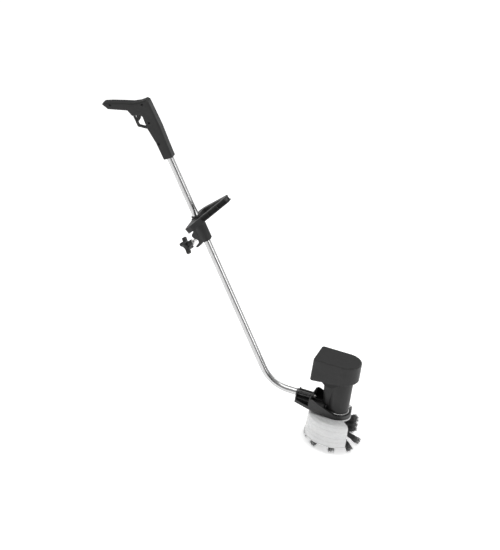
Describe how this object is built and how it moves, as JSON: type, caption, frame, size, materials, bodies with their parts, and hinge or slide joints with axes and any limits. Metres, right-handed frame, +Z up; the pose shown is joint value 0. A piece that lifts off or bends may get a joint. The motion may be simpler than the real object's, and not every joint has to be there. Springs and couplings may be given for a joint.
{
  "type": "hand-held rotary brush stripper",
  "caption": "Long-shaft electric rotary brush for stripping shoots, with motor head, open-fronted guard, trigger grip and clamp-on loop handle.",
  "frame": {"origin": "free end of the motor spindle, below the brush hub", "axes": "+Z up along the motor axis, +X forward away from the operator, +Y to the operator's left"},
  "size_m": [1.0031, 0.182, 0.9834],
  "materials": {
    "tube_steel": "satin",
    "cable_rubber": "matte",
    "black_plastic": "fine texture",
    "dark_steel": "blackened",
    "trigger_plastic": "fine texture",
    "zinc_steel": "zinc plated",
    "inner_plastic": "moulded",
    "brass_contacts": "plain",
    "liner_rubber": "matte",
    "handle_plastic": "fine texture",
    "knob_plastic": "fine texture",
    "bracket_plastic": "moulded",
    "sleeve_gloss": "glossy",
    "cover_plastic": "satin moulded",
    "flange_aluminium": "machined",
    "magnet_dark": "sintered",
    "bearing_steel": "ground",
    "core_steel": "laminated",
    "copper_wire": "enamelled",
    "board_green": "soldered board",
    "guard_white": "slightly glossy",
    "hub_plastic": "moulded",
    "bristle_nylon": "coarse strands"
  },
  "bodies": {
    "frame": {"shaft_tube": "tube_steel", "power_cable": "cable_rubber", "grip_half_left": "black_plastic", "grip_half_right": "black_plastic", "grip_screws": "dark_steel", "trigger_pin": "zinc_steel", "trigger_spring": "zinc_steel", "micro_switch": "inner_plastic", "power_socket": "inner_plastic", "socket_contacts": "brass_contacts", "grip_wiring": "cable_rubber", "motor_bracket": "bracket_plastic", "tube_sleeve": "sleeve_gloss", "tube_plug": "zinc_steel", "tube_lock_bolt": "zinc_steel", "motor_cover": "cover_plastic", "motor_flange": "flange_aluminium", "motor_can": "zinc_steel", "motor_magnets": "magnet_dark", "end_bell": "flange_aluminium", "bearing_lower": "bearing_steel", "bearing_upper": "bearing_steel", "carbon_brushes": "magnet_dark", "brush_holders": "inner_plastic", "controller_board": "board_green", "board_capacitors": "inner_plastic", "board_heatsink": "flange_aluminium", "board_posts": "black_plastic", "motor_lead": "cable_rubber", "guard_shell": "guard_white", "guard_screws": "zinc_steel"},
    "rotor": {"motor_shaft": "bearing_steel", "armature_core": "core_steel", "armature_windings": "copper_wire", "commutator": "copper_wire", "brush_hub": "hub_plastic", "bristle_tufts": "bristle_nylon", "hub_washer": "zinc_steel", "hub_lock_nut": "zinc_steel"},
    "trigger_arm": {"trigger": "trigger_plastic"},
    "plunger": {"switch_plunger": "inner_plastic"},
    "slider": {"handle_liner": "liner_rubber"},
    "front_handle": {"clamp_body": "black_plastic", "loop_handle": "handle_plastic", "clamp_bolt": "zinc_steel"},
    "knob_seat": {"knob_washer": "zinc_steel"},
    "knob": {"star_knob": "knob_plastic", "knob_insert": "brass_contacts"}
  },
  "joints": [
    {"name": "rotor_spin", "type": "hinge", "parent": "frame", "child": "rotor", "pos_m": [0, 0, 0.1], "axis": [0, 0, 1], "continuous": true},
    {"name": "trigger_pull", "type": "hinge", "parent": "frame", "child": "trigger_arm", "pos_m": [-0.803, 0, 0.927], "axis": [0, 1, 0], "range_deg": [0, 6], "deforming": ["trigger_spring"]},
    {"name": "plunger_lift", "type": "slide", "parent": "frame", "child": "plunger", "axis": [0, 0, 1], "range_m": [0, 0.00141]},
    {"name": "handle_slide", "type": "slide", "parent": "frame", "child": "slider", "axis": [-0.553, 0, 0.8332], "range_m": [-0.33, 0.16]},
    {"name": "handle_swivel", "type": "hinge", "parent": "slider", "child": "front_handle", "pos_m": [-0.52631, 0, 0.57533], "axis": [-0.553, 0, 0.8332], "range_deg": [-75, 75]},
    {"name": "knob_backoff", "type": "slide", "parent": "front_handle", "child": "knob_seat", "axis": [-0.6695, 0, -0.7428], "range_m": [0, 0.00375]},
    {"name": "knob_turn", "type": "hinge", "parent": "knob_seat", "child": "knob", "pos_m": [-0.57027, 0, 0.51136], "axis": [-0.6695, 0, -0.7428], "range_deg": [0, 1080]}
  ],
  "couplings": [
    {"joint": "plunger_lift", "follows": "trigger_pull", "m_per_rad": 0.0135},
    {"joint": "knob_backoff", "follows": "knob_turn", "m_per_rad": 0.00019894}
  ]
}
